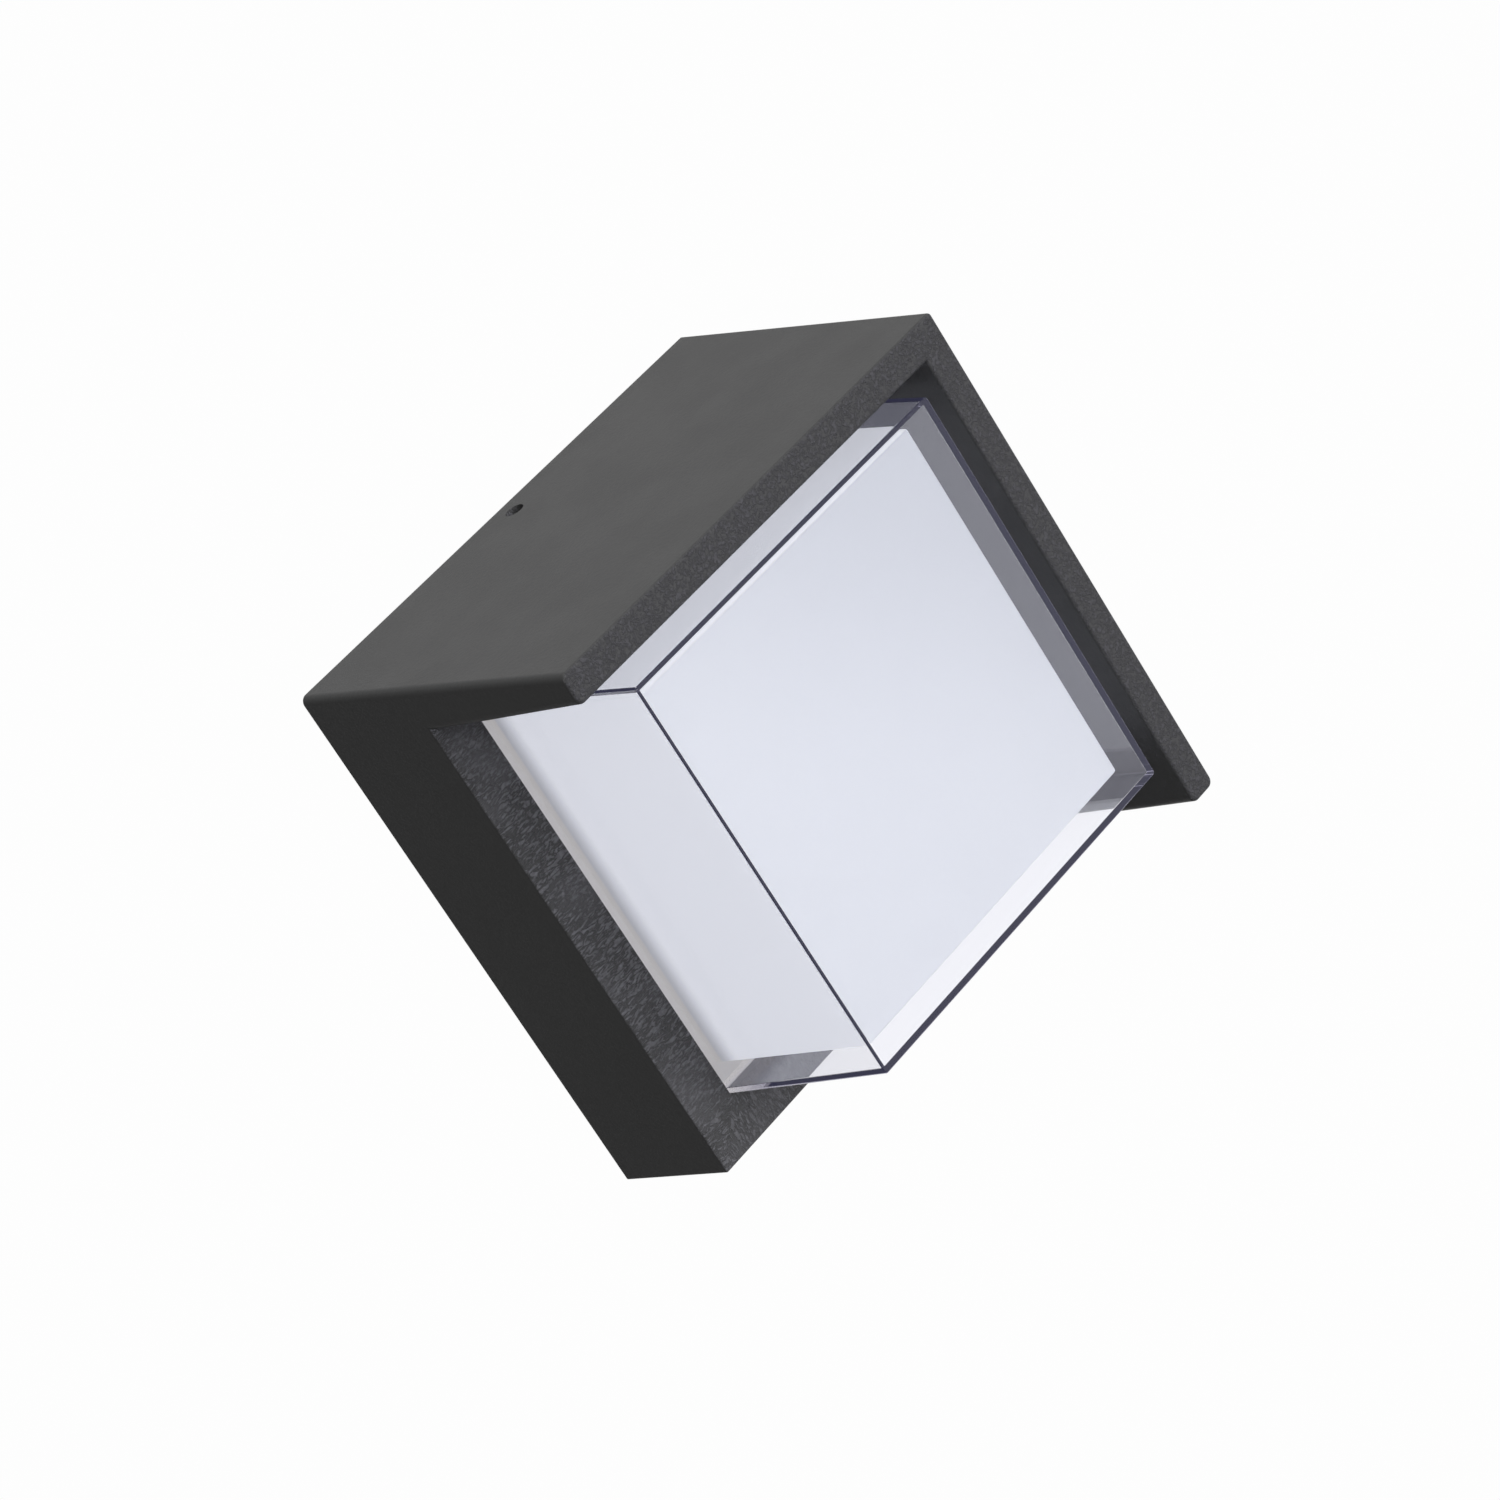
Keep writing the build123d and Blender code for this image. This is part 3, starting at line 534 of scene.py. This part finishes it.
def flanged_cap(back, front, side, draft, wall, flange, corner, edge, inner_corner, inner_edge):
    """A cap with a wall and a flange, as one closed skin. Its side is measured at its back."""
    foot = back + flange
    lean = 2 * math.tan(math.radians(draft))
    skins = [
        drafted_cap(foot, front, side - flange * lean, draft, corner, edge),
        drafted_cap(back, front - wall, side - 2 * wall, draft, inner_corner, inner_edge),
    ]
    bm = bmesh.new()
    add_flange_rim(bm, back, flange)
    for skin in skins:
        mesh = bpy.data.meshes.new("skin")
        skin.to_mesh(mesh)
        skin.free()
        bm.from_mesh(mesh)
        bpy.data.meshes.remove(mesh)
    for level in (back, foot):
        rims = at_level([e for e in bm.edges if e.is_boundary], level)
        bmesh.ops.triangle_fill(bm, edges=rims, use_beauty=True, normal=(0, 0, 1))
    bmesh.ops.recalc_face_normals(bm, faces=bm.faces)
    leaks = sum(not e.is_manifold for e in bm.edges)
    print("cap volume", round(bm.calc_volume(signed=True) / MM**3), "mm3, open edges", leaks)
    return bm


# %% [markdown]
# ## Finished pieces
#
# A finished piece gets its place in its mesh, smooth shading with its real corners kept sharp,
# its material and the body that it moves with, and the CAD node that it stands for is hidden.
# Weighted normals keep the large flat walls flat beside their small rounded edges.

# %% Finishing a piece
SHARP_ANGLE = math.radians(35)


def finish_piece(bm, name, body, slot, node):
    """Makes a drawn bmesh a piece that rides on a body and replaces a CAD node."""
    bmesh.ops.transform(bm, matrix=LAMP_AXES, verts=bm.verts)
    mesh = bpy.data.meshes.new(name)
    bm.to_mesh(mesh)
    bm.free()
    mesh.materials.append(finishes[slot])
    mesh.shade_smooth()
    mesh.set_sharp_from_angle(angle=SHARP_ANGLE)
    thing = bpy.data.objects.new(name, mesh)
    bpy.context.scene.collection.objects.link(thing)
    thing.modifiers.new("flat_walls", "WEIGHTED_NORMAL").keep_sharp = True
    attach(thing, body)
    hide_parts(node)
    print(name, len(mesh.polygons), "faces")


def levels(node):
    """The lowest and highest distance from the wall of a CAD node."""
    low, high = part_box(node)
    return -high.y, -low.y


# %% [markdown]
# ## The clear cover
#
# A polycarbonate moulding 1.5 mm thick. Its sides lean in by a little over three degrees. Its
# corners are rounded by 1 mm outside and nearly sharp inside, so each edge shows fine dark lines.

# %% Clear cover
cover_back, cover_front = levels("clear_cover")
finish_piece(
    flanged_cap(
        cover_back, cover_front, side=120.574 * MM, draft=3.325, wall=1.5 * MM, flange=1.8 * MM,
        corner=1.0 * MM, edge=0.4 * MM, inner_corner=0.3 * MM, inner_edge=0.2 * MM,
    ),
    "clear_cover_moulding", "lamp", "clear_plastic", "clear_cover",
)

# %% [markdown]
# ## The opal block
#
# The diffuser looks like a solid white block but is a cap too, 1.6 mm thick, so that the LEDs
# inside have room. Its flange shows through the cover as a pale strip round its foot, widened by
# the flange's painted glow on the block's lowest 2 mm.

# %% Opal block
opal_back, opal_front = levels("opal_diffuser")
finish_piece(
    flanged_cap(
        opal_back, opal_front, side=108.656 * MM, draft=2.63, wall=1.6 * MM, flange=1.7 * MM,
        corner=0.8 * MM, edge=0.6 * MM, inner_corner=0.4 * MM, inner_edge=0.3 * MM,
    ),
    "opal_block", "lamp", "opal_plastic", "opal_diffuser",
)

# %% [markdown]
# ## Finishes on the CAD parts
#
# Every CAD node carries the name of its material slot. Each one that still shows gets the finish
# of that name in its object's own slot, which leaves its mesh alone.

# %% Paint the CAD parts
for node, thing in sorted(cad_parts.items()):
    for slot in thing.material_slots:
        wanted = slot.material.name.split(".")[0]
        slot.link = "OBJECT"
        slot.material = finishes[wanted]
print("painted", len(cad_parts), "CAD nodes")


# %% [markdown]
# ## Studio
#
# The lamp hangs in a pale studio. A sweep of near-white behind it, a soft light over its left
# shoulder and another in front give the upper side its sheen and leave the lower side dark. The
# world is plain white to the eye. As a lamp it is dimmer: brighter above than below, brightest
# behind the lamp, and with a paler area at the front right.

# %% World
SEEN_WHITE = 0.985
BACKDROP_LIGHT = 0.95
GROUND_LIGHT = 0.16
SKY_LIGHT = 0.36  # added to the ground's towards the zenith
FRONT_RIGHT_LIGHT = 0.45
FRONT_RIGHT = tuple(Vector((0.62, -0.78, 0.12)).normalized())

world = bpy.data.worlds.new("studio")
bpy.context.scene.world = world
world.use_nodes = True
direction = Shade(world.node_tree).add("ShaderNodeTexCoord", out="Generated")
seen = Shade(world.node_tree).add("ShaderNodeLightPath", out="Is Camera Ray")
view_direction = tuple((CAMERA_AIM - camera.location).normalized())
backdrop = direction.along(view_direction).ramp(0.62, 0.90)
sky = direction.along((0, 0, 1)).ramp(-0.75, 0.75)
front_right = direction.along(FRONT_RIGHT).ramp(0.45, 0.95)
room = (GROUND_LIGHT + SKY_LIGHT * sky) * (1 - backdrop)
brightness = room + BACKDROP_LIGHT * backdrop + FRONT_RIGHT_LIGHT * front_right
background = world.node_tree.nodes["Background"]
plug(background.inputs["Strength"], seen * SEEN_WHITE + (1 - seen) * brightness)
plug(background.inputs["Color"], (1, 1, 1))
bpy.context.scene.view_settings.view_transform = "Standard"


# %% Lights and floor
FLOOR_RADIUS = 3.0
FLOOR_LEVEL = -1.0


def softbox(name, place, size, power):
    """A square light that faces the lamp."""
    light = bpy.data.lights.new(name, "AREA")
    light.shape, light.size, light.energy = "SQUARE", size, power
    lamp = bpy.data.objects.new(name, light)
    bpy.context.scene.collection.objects.link(lamp)
    lamp.location = place
    lamp.rotation_euler = (-Vector(place)).to_track_quat("-Z", "Y").to_euler()


softbox("over_left_shoulder", (-1.0, -0.5, 1.4), 1.2, 10)
softbox("front", (-0.5, -2.0, 0.4), 1.4, 20)

floor_bm = bmesh.new()
bmesh.ops.create_circle(floor_bm, cap_ends=True, radius=FLOOR_RADIUS, segments=64)
bmesh.ops.translate(floor_bm, vec=(0, 0, FLOOR_LEVEL), verts=floor_bm.verts)
floor_mesh = bpy.data.meshes.new("floor")
floor_bm.to_mesh(floor_mesh)
floor_bm.free()
floor_place, floor_shader = new_finish("floor_paint")
floor_grey = floor_place.noise(3).blend((0.78, 0.78, 0.78), (0.80, 0.80, 0.80))
fill(floor_shader, Base_Color=floor_grey, Roughness=0.8)
floor_mesh.materials.append(finishes["floor_paint"])
floor = bpy.data.objects.new("floor", floor_mesh)
bpy.context.scene.collection.objects.link(floor)
# the floor is only seen, so it throws no light onto the lamp
floor.visible_diffuse = floor.visible_glossy = floor.visible_transmission = False
